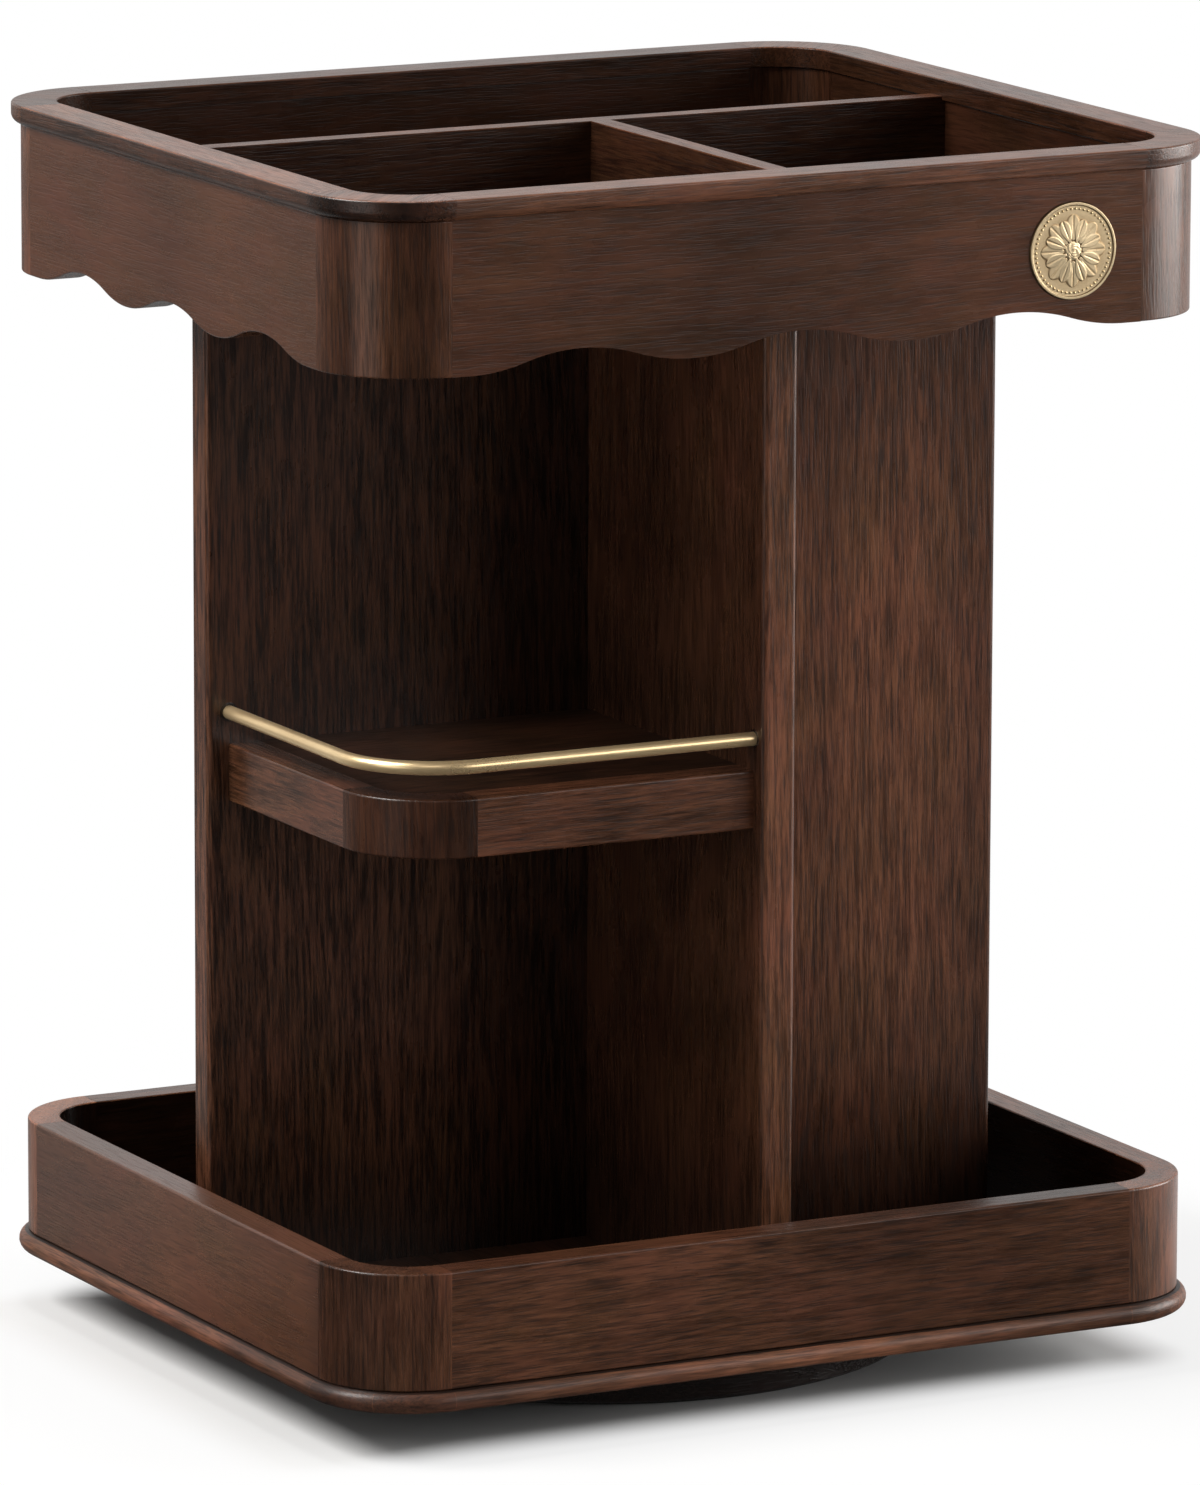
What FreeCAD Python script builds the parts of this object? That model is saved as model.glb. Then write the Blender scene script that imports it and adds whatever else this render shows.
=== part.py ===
import FreeCAD, Part
import math
import os

# Rotating makeup organizer in walnut: a scalloped tray over open bays, turning on a ball bearing.
# Millimetres, +Z up, the origin on the table under the middle of the disc, -Y the front.

Vector = FreeCAD.Vector
UP = Vector(0, 0, 1)

# Trays, in plan
width = 250.0
depth = 223.0
nose_overhang = 2.5
corner_r = 25.0
wall_t = 8.5
arris = 0.6
quirk = 0.5

# Base disc and pad
pad_t = 0.8
pad_inset = 2.8
disc_r = 82.8
disc_t = 7.2
disc_recess_r = 41.0
disc_recess_depth = 2.4

# Ball bearing
bearing_h = 6.2
plate_t = 1.2
plate_r = 60.0
bore_r = 37.6
sleeve_gap = 0.4
sleeve_t = 1.2
lip_width = 2.4
lip_t = 1.2
race_r = 47.0
ball_r = 2.2
ball_count = 8
race_clearance = 0.06
cage_width = 6.0
cage_t = 1.4
plate_screw_ring_r = 54.5
plate_screw_count = 3
access_turn = 60.0
plate_screw_head_r = 2.8
plate_screw_crown_r = 2.1
plate_screw_head_h = 1.5
plate_screw_r = 1.5
plate_screw_bite = 4.4
access_hole_r = 4.5

# Bottom tray
base_t = 5.5
tray_h = 30.3

# Column
column_h = 263.3
spine_t = 9.6
spine_x = 11.8
wing_t = 9.2
wing_y = 24.1
left_margin = 11.0
right_margin = 12.5
end_margin = 23.7
housing_depth = 2.5
edge_round = 1.4
spine_screw_inset = 12.0
wing_screw_inset = 30.0
column_screw_r = 1.75
column_screw_head_r = 3.5
column_screw_bite = 24.0
dowel_r = 3.0
dowel_in_floor = 5.0
dowel_in_wall = 14.0

# Shelves and rails
shelf_rise = 126.3
shelf_t = 15.3
shelf_side_inset = 6.1
shelf_front_inset = 4.9
shelf_corner_r = 25.3
lipping_t = 8.5
shelf_dowel_in_wall = 4.5
shelf_dowel_in_shelf = 14.0
shelf_dowel_inset = 22.0
rail_r = 1.8
rail_rise = 8.2
rail_seat = 6.0

# Top tray
floor_t = 8.0
tongue = 3.0
apron_drop = 7.4
scallop_rise = 4.8
scallop_peaks = 3
scallop_margin = 5.0
apron_h = 39.0
cap_t = 5.4
cap_width = 12.0
cap_nose_r = 2.4
divider_t = 5.7
divider_proud = 1.0
divider_y = 25.2

# Medallion
medallion_r = 12.45
medallion_gap = 0.15
medallion_t = 2.6
medallion_proud = 0.5
medallion_inset = 20.1
medallion_rim = 0.9
medallion_field_drop = 0.35

# Levels and faces that follow
disc_z = pad_t
bearing_z = disc_z + disc_t
base_z = bearing_z + bearing_h
wall_z = base_z + base_t
floor_z = wall_z + column_h
floor_top = floor_z + floor_t
apron_z = floor_z - apron_drop
apron_top = apron_z + apron_h
cap_top = apron_top + cap_t
divider_top = apron_top + divider_proud
shelf_z = wall_z + shelf_rise
shelf_top = shelf_z + shelf_t
rail_z = shelf_top + rail_rise
ball_z = bearing_z + bearing_h / 2
wall_half_x = width / 2 - nose_overhang
wall_half_y = depth / 2 - nose_overhang
straight_x = wall_half_x - corner_r
straight_y = wall_half_y - corner_r
medallion_x = straight_x - medallion_inset
left_reach = wall_half_x - wall_t - left_margin
right_reach = wall_half_x - wall_t - right_margin
spine_half = wall_half_y - wall_t - end_margin
spine_left = spine_x - spine_t / 2
spine_right = spine_x + spine_t / 2
wing_near = wing_y - wing_t / 2
wing_far = wing_y + wing_t / 2


def block(x0, x1, y0, y1, z0, z1):
    return Part.makeBox(x1 - x0, y1 - y0, z1 - z0, Vector(x0, y0, z0))


def rounded_slab(half_x, half_y, radius, z0, z1):
    slab = block(-half_x, half_x, -half_y, half_y, z0, z1)
    upright = [edge for edge in slab.Edges if edge.BoundBox.ZLength > (z1 - z0) / 2]
    return slab.makeFillet(radius, upright)


def edges_at(shape, z):
    return [edge for edge in shape.Edges if max(abs(v.Z - z) for v in edge.Vertexes) < 1e-6
            and edge.BoundBox.ZLength < 1e-3]


def turned(shape, angle):
    copy = shape.copy()
    copy.rotate(Vector(0, 0, 0), UP, angle)
    return copy


def moved(shape, x, y, z):
    copy = shape.copy()
    copy.translate(Vector(x, y, z))
    return copy


def ring_of(shape, count, radius, start_angle=0.0):
    step = 360.0 / count
    return [turned(moved(shape, radius, 0, 0), start_angle + i * step) for i in range(count)]


def cut_all(shape, tools):
    for tool in tools:
        shape = shape.cut(tool)
    return shape


# Base: pad, disc and bearing

def base_pad():
    return Part.makeCylinder(disc_r - pad_inset, pad_t)


def base_disc():
    disc = Part.makeCylinder(disc_r, disc_t, Vector(0, 0, disc_z))
    disc = disc.makeChamfer(arris, edges_at(disc, disc_z) + edges_at(disc, bearing_z))
    recess = Part.makeCylinder(disc_recess_r, disc_recess_depth, Vector(0, 0, bearing_z - disc_recess_depth))
    access = Part.makeCylinder(access_hole_r, disc_t, Vector(0, 0, disc_z))
    return cut_all(disc, [recess] + ring_of(access, 1, plate_screw_ring_r, access_turn) + lower_plate_screws())


def race_groove():
    # A six-sided ring round the balls, of which each plate gets one corner as its V groove
    reach = (ball_r + race_clearance) / math.cos(math.pi / 6)
    angles = [math.pi * (2 * i + 1) / 6 for i in range(6)]
    outline = [Vector(race_r + reach * math.cos(angle), 0, ball_z + reach * math.sin(angle)) for angle in angles]
    return Part.Face(Part.makePolygon(outline + outline[:1])).revolve(Vector(0, 0, 0), UP, 360)


def lower_bearing_plate():
    plate = Part.makeCylinder(plate_r, plate_t, Vector(0, 0, bearing_z))
    bore = Part.makeCylinder(bore_r, plate_t, Vector(0, 0, bearing_z))
    return cut_all(plate, [bore, race_groove()] + lower_plate_screws())


def upper_bearing_plate():
    sleeve_r = bore_r - sleeve_gap
    inner_r = sleeve_r - sleeve_t
    lip_top = bearing_z - sleeve_gap
    under = base_z - plate_t
    outline = [Vector(inner_r, 0, lip_top - lip_t), Vector(sleeve_r + lip_width, 0, lip_top - lip_t),
               Vector(sleeve_r + lip_width, 0, lip_top), Vector(sleeve_r, 0, lip_top),
               Vector(sleeve_r, 0, under), Vector(plate_r, 0, under),
               Vector(plate_r, 0, base_z), Vector(inner_r, 0, base_z)]
    face = Part.Face(Part.makePolygon(outline + outline[:1]))
    plate = face.revolve(Vector(0, 0, 0), UP, 360)
    return cut_all(plate, [race_groove()] + upper_plate_screws())


def plate_screw():
    head = Part.makeCone(plate_screw_head_r, plate_screw_crown_r, plate_screw_head_h)
    shank_l = plate_t + plate_screw_bite
    return head.fuse(Part.makeCylinder(plate_screw_r, shank_l, Vector(0, 0, -shank_l)))


def lower_plate_screws():
    screw = moved(plate_screw(), 0, 0, bearing_z + plate_t)
    return ring_of(screw, plate_screw_count, plate_screw_ring_r)


def upper_plate_screws():
    screw = plate_screw()
    screw.rotate(Vector(0, 0, 0), Vector(1, 0, 0), 180)
    return ring_of(moved(screw, 0, 0, base_z - plate_t), plate_screw_count, plate_screw_ring_r, access_turn)


def bearing_balls():
    return ring_of(Part.makeSphere(ball_r, Vector(0, 0, ball_z)), ball_count, race_r)


def ball_cage():
    bottom = Vector(0, 0, ball_z - cage_t / 2)
    outer = Part.makeCylinder(race_r + cage_width / 2, cage_t, bottom)
    inner = Part.makeCylinder(race_r - cage_width / 2, cage_t, bottom)
    pocket = Part.makeCylinder(ball_r, cage_t, bottom)
    return cut_all(outer, [inner] + ring_of(pocket, ball_count, race_r))


# Bottom tray

def base_board():
    board = rounded_slab(width / 2, depth / 2, corner_r + nose_overhang, base_z, wall_z)
    nose = base_t / 2 - 0.01
    board = board.makeFillet(nose, edges_at(board, base_z) + edges_at(board, wall_z))
    return cut_all(board, column_screws() + upper_plate_screws())


def outer_edge(board, reach, z):
    return [edge for edge in edges_at(board, z)
            if edge.BoundBox.XLength > reach / 2 and edge.BoundBox.YMax < -reach + wall_t / 2]


def tray_board(reach, half):
    board = block(-half, half, -reach, -reach + wall_t, wall_z, wall_z + tray_h)
    board = board.makeChamfer(arris, outer_edge(board, reach, wall_z + tray_h))
    return board.makeChamfer(quirk, outer_edge(board, reach, wall_z))


def quarter_ring(z0, z1):
    centre = Vector(straight_x, straight_y, z0)
    outer = Part.makeCylinder(corner_r, z1 - z0, centre, UP, 90)
    return outer.cut(Part.makeCylinder(corner_r - wall_t, z1 - z0, centre, UP, 90))


def arcs_at(shape, z, radius):
    return [edge for edge in edges_at(shape, z)
            if edge.Curve.TypeId == "Part::GeomCircle" and abs(edge.Curve.Radius - radius) < 1e-6]


def tray_corner():
    top = wall_z + tray_h
    corner = quarter_ring(wall_z, top)
    corner = corner.makeChamfer(arris, arcs_at(corner, top, corner_r))
    return corner.makeChamfer(quirk, arcs_at(corner, wall_z, corner_r))


def four_corners(corner):
    across = corner.mirror(Vector(0, 0, 0), Vector(1, 0, 0))
    return {"back_right": corner, "back_left": across,
            "front_left": turned(corner, 180), "front_right": turned(across, 180)}


def four_sides(front, side):
    return {"front": front, "back": turned(front, 180), "left": turned(side, -90), "right": turned(side, 90)}


# Column

def upright(x0, x1, y0, y1):
    return block(x0, x1, y0, y1, wall_z, floor_z)


def left_wing_blank():
    return upright(-left_reach, spine_left + housing_depth, wing_near, wing_far)


def right_wing_blank():
    return upright(spine_right - housing_depth, right_reach, -wing_far, -wing_near)


def rounded_ends(board, is_free):
    free = [edge for edge in board.Edges if edge.BoundBox.ZLength > column_h / 2 and is_free(edge.BoundBox)]
    return board.makeFillet(edge_round, free)


def spine_wall():
    board = rounded_ends(upright(spine_left, spine_right, -spine_half, spine_half), lambda box: True)
    return cut_all(board, [left_wing_blank(), right_wing_blank()] + column_fixings() + shelf_fixings())


def left_wing():
    wing = rounded_ends(left_wing_blank(), lambda box: box.XMax < -left_reach / 2)
    return cut_all(wing, column_fixings() + shelf_fixings())


def right_wing():
    wing = rounded_ends(right_wing_blank(), lambda box: box.XMin > right_reach / 2)
    return cut_all(wing, column_fixings() + shelf_fixings())


def column_points():
    spine_y = spine_half - spine_screw_inset
    return [(spine_x, -spine_y), (spine_x, spine_y),
            (-left_reach + wing_screw_inset, wing_y), (right_reach - wing_screw_inset, -wing_y)]


def column_screws():
    head_h = column_screw_head_r - column_screw_r
    head = Part.makeCone(column_screw_head_r, column_screw_r, head_h, Vector(0, 0, base_z))
    shank_z = base_z + head_h
    shank = Part.makeCylinder(column_screw_r, wall_z + column_screw_bite - shank_z, Vector(0, 0, shank_z))
    return [moved(head.fuse(shank), x, y, 0) for x, y in column_points()]


def column_dowels():
    dowel = Part.makeCylinder(dowel_r, dowel_in_wall + dowel_in_floor, Vector(0, 0, floor_z - dowel_in_wall))
    return [moved(dowel, x, y, 0) for x, y in column_points()]


def column_fixings():
    return column_screws() + column_dowels()


# Shelves: drawn in a bay that opens to +X and +Y from its inner corner, then put in place

def bay_size(name):
    if name == "front":
        return left_reach - shelf_side_inset + spine_left
    return right_reach - shelf_side_inset - spine_right


def in_bay(name, shape):
    if name == "front":
        return moved(turned(shape, 180), spine_left, wing_near, 0)
    return moved(shape, spine_right, -wing_near, 0)


def shelf_depth():
    return spine_half - shelf_front_inset + wing_near


def shelf_slab(name):
    across = bay_size(name)
    slab = block(0, across, 0, shelf_depth(), shelf_z, shelf_top)
    outer = [edge for edge in slab.Edges if edge.BoundBox.ZLength > shelf_t / 2
             and edge.BoundBox.XMin > across / 2 and edge.BoundBox.YMin > across / 2]
    slab = slab.makeFillet(shelf_corner_r, outer)
    rim = [edge for edge in edges_at(slab, shelf_z) + edges_at(slab, shelf_top)
           if edge.BoundBox.XMax > across - 1e-3 and edge.BoundBox.XMin > across / 2
           or edge.BoundBox.YMin > shelf_depth() - 1e-3]
    return slab.makeChamfer(arris, rim)


def shelf_core(name):
    across = bay_size(name) - lipping_t
    along = shelf_depth() - lipping_t
    core = block(0, across, 0, along, shelf_z, shelf_top)
    outer = [edge for edge in core.Edges if edge.BoundBox.ZLength > shelf_t / 2
             and edge.BoundBox.XMin > across / 2 and edge.BoundBox.YMin > along / 2]
    return core.makeFillet(shelf_corner_r - lipping_t, outer)


def shelf_board(name):
    return in_bay(name, cut_all(shelf_core(name), shelf_dowels_local(name)))


def shelf_edge(name, zone):
    rim = shelf_slab(name).cut(shelf_core(name)).common(zone)
    return in_bay(name, cut_all(rim, shelf_dowels_local(name)))


def shelf_side_lipping(name):
    straight = shelf_depth() - shelf_corner_r
    return shelf_edge(name, block(0, width, 0, straight, shelf_z, shelf_top))


def shelf_front_lipping(name):
    straight = bay_size(name) - shelf_corner_r
    return shelf_edge(name, block(0, straight, 0, width, shelf_z, shelf_top))


def shelf_corner_block(name):
    x0 = bay_size(name) - shelf_corner_r
    y0 = shelf_depth() - shelf_corner_r
    return shelf_edge(name, block(x0, width, y0, width, shelf_z, shelf_top))


def shelf_dowels_local(name):
    z = shelf_z + shelf_t / 2
    length = shelf_dowel_in_wall + shelf_dowel_in_shelf
    into_wing = Part.makeCylinder(dowel_r, length, Vector(0, -shelf_dowel_in_wall, z), Vector(0, 1, 0))
    into_spine = Part.makeCylinder(dowel_r, length, Vector(-shelf_dowel_in_wall, 0, z), Vector(1, 0, 0))
    far_x = bay_size(name) - shelf_dowel_inset
    return [moved(into_wing, shelf_dowel_inset, 0, 0), moved(into_wing, far_x, 0, 0),
            moved(into_spine, 0, shelf_depth() / 2, 0)]


def shelf_dowels(name):
    return [in_bay(name, dowel) for dowel in shelf_dowels_local(name)]


def shelf_rail(name):
    across = bay_size(name)
    along = shelf_depth()
    bend = shelf_corner_r * math.sqrt(0.5)
    centre_x = across - shelf_corner_r
    centre_y = along - shelf_corner_r
    first = Vector(across, -rail_seat, rail_z)
    second = Vector(across, centre_y, rail_z)
    third = Vector(centre_x, along, rail_z)
    last = Vector(-rail_seat, along, rail_z)
    middle = Vector(centre_x + bend, centre_y + bend, rail_z)
    path = Part.Wire([Part.LineSegment(first, second).toShape(), Part.Arc(second, middle, third).toShape(),
                      Part.LineSegment(third, last).toShape()])
    section = Part.Wire(Part.makeCircle(rail_r, first, Vector(0, 1, 0)))
    return in_bay(name, path.makePipeShell([section], True, False))


def shelf_fixings():
    return [piece for name in ("front", "rear") for piece in shelf_dowels(name) + [shelf_rail(name)]]


# Top tray

def top_floor_blank():
    inner_x = wall_half_x - wall_t + tongue
    inner_y = wall_half_y - wall_t + tongue
    return rounded_slab(inner_x, inner_y, corner_r - wall_t + tongue, floor_z, floor_top)


def top_floor():
    return cut_all(top_floor_blank(), column_dowels())


def wave(x0, z0, x1, z1):
    # Two arcs, level at both ends and meeting on a slope half way
    run = (x1 - x0) / 2
    rise = (z1 - z0) / 2
    radius = (run * run + rise * rise) / (2 * rise)
    half_angle = math.asin(run / abs(radius)) / 2
    along = abs(radius) * math.sin(half_angle)
    lift = radius * (1 - math.cos(half_angle))
    start = Vector(x0, 0, z0)
    middle = Vector(x0 + run, 0, z0 + rise)
    end = Vector(x1, 0, z1)
    return [Part.Arc(start, Vector(x0 + along, 0, z0 + lift), middle).toShape(),
            Part.Arc(middle, Vector(x1 - along, 0, z1 - lift), end).toShape()]


def scalloped_edge(half):
    reach = half - scallop_margin
    half_wave = reach / scallop_peaks
    edges = [Part.makeLine(Vector(-half, 0, apron_z), Vector(-reach, 0, apron_z))]
    for i in range(scallop_peaks):
        low = -reach + 2 * i * half_wave
        edges += wave(low, apron_z, low + half_wave, apron_z + scallop_rise)
        edges += wave(low + half_wave, apron_z + scallop_rise, low + 2 * half_wave, apron_z)
    return edges + [Part.makeLine(Vector(reach, 0, apron_z), Vector(half, 0, apron_z))]


def apron_board(reach, half):
    right = Part.makeLine(Vector(half, 0, apron_z), Vector(half, 0, apron_top))
    top = Part.makeLine(Vector(half, 0, apron_top), Vector(-half, 0, apron_top))
    left = Part.makeLine(Vector(-half, 0, apron_top), Vector(-half, 0, apron_z))
    face = Part.Face(Part.Wire(scalloped_edge(half) + [right, top, left]))
    board = moved(face.extrude(Vector(0, wall_t, 0)), 0, -reach, 0)
    return board.makeChamfer(quirk, outer_edge(board, reach, apron_top))


def apron_front():
    recess_y = -wall_half_y + medallion_t - medallion_proud
    centre_z = (apron_z + apron_top) / 2
    recess = Part.makeCylinder(medallion_r + medallion_gap, wall_t, Vector(medallion_x, recess_y, centre_z),
                               Vector(0, -1, 0))
    return apron_board(wall_half_y, straight_x).cut(recess)


def apron_corner():
    corner = quarter_ring(apron_z, apron_top)
    return corner.makeChamfer(quirk, arcs_at(corner, apron_top, corner_r))


def apron_pieces():
    boards = four_sides(apron_front(), apron_board(wall_half_x, straight_y))
    boards["back"] = turned(apron_board(wall_half_y, straight_x), 180)
    pieces = {"apron_" + side + "_board": board for side, board in boards.items()}
    corners = four_corners(apron_corner())
    pieces.update({"apron_" + place + "_corner": corner for place, corner in corners.items()})
    return {name: piece.cut(top_floor_blank()) for name, piece in pieces.items()}


def cap_blank():
    outer = rounded_slab(width / 2, depth / 2, corner_r + nose_overhang, apron_top, cap_top)
    outer = outer.makeFillet(cap_nose_r, edges_at(outer, apron_top))
    inner_r = corner_r + nose_overhang - cap_width
    inner = rounded_slab(width / 2 - cap_width, depth / 2 - cap_width, inner_r, apron_top, cap_top)
    return outer.cut(inner)


def cap_rim():
    rim = cap_blank()
    return rim.makeChamfer(arris, edges_at(rim, cap_top))


def long_divider():
    reach = wall_half_x - wall_t
    board = block(-reach, reach, divider_y - divider_t / 2, divider_y + divider_t / 2, floor_top, divider_top)
    return board.cut(cap_blank())


def short_divider():
    board = block(spine_x - divider_t / 2, spine_x + divider_t / 2,
                  -wall_half_y + wall_t, divider_y - divider_t / 2, floor_top, divider_top)
    return board.cut(cap_blank())


def medallion():
    front = -wall_half_y - medallion_proud
    centre = Vector(medallion_x, front, (apron_z + apron_top) / 2)
    coin = Part.makeCylinder(medallion_r, medallion_t, centre, Vector(0, 1, 0))
    field = Part.makeCylinder(medallion_r - medallion_rim, medallion_field_drop, centre, Vector(0, 1, 0))
    return coin.cut(field)


def shelf_pieces(name):
    return {name + "_shelf_board": shelf_board(name),
            name + "_shelf_side_lipping": shelf_side_lipping(name),
            name + "_shelf_front_lipping": shelf_front_lipping(name),
            name + "_shelf_corner_block": shelf_corner_block(name),
            name + "_shelf_dowels": shelf_dowels(name),
            name + "_shelf_rail": shelf_rail(name)}


def all_pieces():
    pieces = {"base_pad": base_pad(), "base_disc": base_disc(),
              "lower_bearing_plate": lower_bearing_plate(), "lower_plate_screws": lower_plate_screws(),
              "ball_cage": ball_cage(), "bearing_balls": bearing_balls(),
              "upper_bearing_plate": upper_bearing_plate(), "upper_plate_screws": upper_plate_screws(),
              "base_board": base_board(), "spine_wall": spine_wall(),
              "left_wing": left_wing(), "right_wing": right_wing(),
              "column_screws": column_screws(), "column_dowels": column_dowels(),
              "top_floor": top_floor(), "cap_rim": cap_rim(),
              "long_divider": long_divider(), "short_divider": short_divider(), "medallion": medallion()}
    boards = four_sides(tray_board(wall_half_y, straight_x), tray_board(wall_half_x, straight_y))
    pieces.update({"tray_" + side + "_board": board for side, board in boards.items()})
    corners = four_corners(tray_corner())
    pieces.update({"tray_" + place + "_corner": corner for place, corner in corners.items()})
    pieces.update(apron_pieces())
    pieces.update(shelf_pieces("front"))
    pieces.update(shelf_pieces("rear"))
    return pieces


os.makedirs("parts", exist_ok=True)
for node, piece in all_pieces().items():
    solid = Part.makeCompound(piece) if isinstance(piece, list) else piece
    solid.exportStep("parts/" + node + ".step")
    print(node, len(solid.Solids), round(solid.Volume, 1), solid.isValid())
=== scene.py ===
import math
import bpy
import bmesh
import numpy as np
from mathutils import Matrix, Vector


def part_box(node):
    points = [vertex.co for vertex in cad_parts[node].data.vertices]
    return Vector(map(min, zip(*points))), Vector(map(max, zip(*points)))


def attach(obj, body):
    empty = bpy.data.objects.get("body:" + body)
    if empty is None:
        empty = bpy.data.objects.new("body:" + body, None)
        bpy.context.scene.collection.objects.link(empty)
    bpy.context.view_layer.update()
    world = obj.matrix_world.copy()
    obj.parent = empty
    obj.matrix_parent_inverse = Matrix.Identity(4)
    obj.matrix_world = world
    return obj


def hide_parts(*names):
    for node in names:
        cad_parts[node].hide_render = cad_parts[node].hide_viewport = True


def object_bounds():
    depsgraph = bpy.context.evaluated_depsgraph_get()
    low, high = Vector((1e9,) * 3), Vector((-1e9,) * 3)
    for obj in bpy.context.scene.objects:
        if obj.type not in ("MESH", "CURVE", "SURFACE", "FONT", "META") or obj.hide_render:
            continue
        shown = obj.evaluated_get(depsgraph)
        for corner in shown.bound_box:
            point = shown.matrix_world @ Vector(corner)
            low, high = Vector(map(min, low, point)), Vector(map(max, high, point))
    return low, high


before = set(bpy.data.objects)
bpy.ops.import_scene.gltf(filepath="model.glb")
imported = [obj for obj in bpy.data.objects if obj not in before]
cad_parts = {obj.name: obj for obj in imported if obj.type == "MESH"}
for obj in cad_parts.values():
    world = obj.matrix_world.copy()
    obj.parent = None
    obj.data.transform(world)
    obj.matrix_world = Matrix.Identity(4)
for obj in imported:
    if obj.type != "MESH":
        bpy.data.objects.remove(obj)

cad_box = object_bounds()
mm = 0.001


# The view
# A long lens three metres away, from the front left and a little above, so that the two sides
# run away from the near corner almost without perspective.
def stand(name, data):
    made = bpy.data.objects.new(name, data)
    bpy.context.scene.collection.objects.link(made)
    return made


eye = Vector((-1.328905, -2.548050, 0.728873))
ahead = Vector((0.453632, 0.869507, -0.195387))
upward = Vector((0.087792, 0.174576, 0.980722))
camera = stand("camera", bpy.data.cameras.new("camera"))
camera.data.sensor_width = 36.0
camera.data.lens = 273.727
facing = Matrix((ahead.cross(upward), upward, -ahead)).transposed().to_4x4()
camera.matrix_world = Matrix.Translation(eye) @ facing
bpy.context.scene.camera = camera
bpy.context.scene.view_settings.view_transform = "Standard"


# The studio
# A pale matt table that runs out into a white background, lit through large soft boxes. The side
# of the room behind the camera is dark, which leaves the dark bands in the lacquer's reflections.
class Tree:
    # A node tree, with a short call for each kind of node that is used often. An input takes a
    # plain value, a socket, or a node, which gives its first output.
    def __init__(self, data):
        self.data = data
        self.data.nodes.clear()

    def feed(self, socket, value):
        if isinstance(value, bpy.types.Node):
            value = value.outputs[0]
        if isinstance(value, bpy.types.NodeSocket):
            self.data.links.new(value, socket)
        else:
            socket.default_value = value

    def put(self, kind, inputs=None, **settings):
        node = self.data.nodes.new(kind)
        for key, value in settings.items():
            setattr(node, key, value)
        for key, value in (inputs or {}).items():
            self.feed(node.inputs[key], value)
        return node

    def calc(self, operation, first, second=0.0, third=0.0):
        return self.put("ShaderNodeMath", {0: first, 1: second, 2: third}, operation=operation)

    # One value where the condition is 1 and the other where it is 0.
    def choose(self, condition, this, other):
        return self.calc("MULTIPLY_ADD", condition, self.calc("SUBTRACT", this, other), other)

    def vector(self, operation, *values, **named):
        node = self.put("ShaderNodeVectorMath", dict(enumerate(values), **named), operation=operation)
        return node.outputs["Value" if operation in ("LENGTH", "DOT_PRODUCT") else "Vector"]

    def span(self, value, start, end, low=0.0, high=1.0, easing="LINEAR"):
        limits = {"Value": value, "From Min": start, "From Max": end, "To Min": low, "To Max": high}
        return self.put("ShaderNodeMapRange", limits, interpolation_type=easing)

    def point(self, x=0.0, y=0.0, z=0.0):
        return self.put("ShaderNodeCombineXYZ", {"X": x, "Y": y, "Z": z})

    def parts(self, vector):
        return self.put("ShaderNodeSeparateXYZ", {0: vector}).outputs

    def spot(self):
        return self.put("ShaderNodeTexCoord").outputs["Object"]

    def noise(self, place, scale, detail, roughness=0.5):
        return self.put("ShaderNodeTexNoise", {"Vector": place, "Scale": scale, "Detail": detail,
                                               "Roughness": roughness})

    def ramp(self, value, first, last, start=0.0, end=1.0):
        node = self.put("ShaderNodeValToRGB", {"Fac": value})
        for stop, colour, place in zip(node.color_ramp.elements, (first, last), (start, end)):
            stop.position = place
            stop.color = (*colour, 1)
        return node

    def mix(self, kind, factor, first, second):
        node = self.put("ShaderNodeMix", {0: factor}, data_type=kind)
        ends = [socket for socket in node.inputs if socket.type == kind][-2:]
        self.feed(ends[0], first)
        self.feed(ends[1], second)
        return next(socket for socket in node.outputs if socket.type == kind)

    def surface(self, inputs):
        shader = self.put("ShaderNodeBsdfPrincipled", inputs)
        self.put("ShaderNodeOutputMaterial", {"Surface": shader})

    def moved(self, geometry, place=(0, 0, 0), turn=(0, 0, 0)):
        inputs = {"Geometry": geometry, "Translation": place, "Rotation": turn}
        return self.put("GeometryNodeTransform", inputs)

    def joined(self, *pieces):
        node = self.put("GeometryNodeJoinGeometry")
        for piece in pieces:
            self.feed(node.inputs[0], piece)
        return node

    def smooth(self, geometry):
        return self.put("GeometryNodeSetShadeSmooth", {"Geometry": geometry, "Shade Smooth": True})

    def finish(self, geometry, material, result):
        whole = self.put("GeometryNodeRealizeInstances", {"Geometry": geometry})
        coated = self.put("GeometryNodeSetMaterial", {"Geometry": whole, "Material": material})
        self.feed(result, coated)


def new_material(name):
    material = bpy.data.materials.new(name)
    material.use_nodes = True
    return material, Tree(material.node_tree)


def soft_box(name, place, aim, across, tall, power, tint):
    lamp = bpy.data.lights.new(name, "AREA")
    lamp.shape = "RECTANGLE"
    lamp.size, lamp.size_y = across, tall
    lamp.energy = power
    lamp.color = tint
    holder = stand(name, lamp)
    holder.location = place
    holder.rotation_euler = (Vector((0, 0, aim)) - Vector(place)).to_track_quat("-Z", "Y").to_euler()


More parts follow.
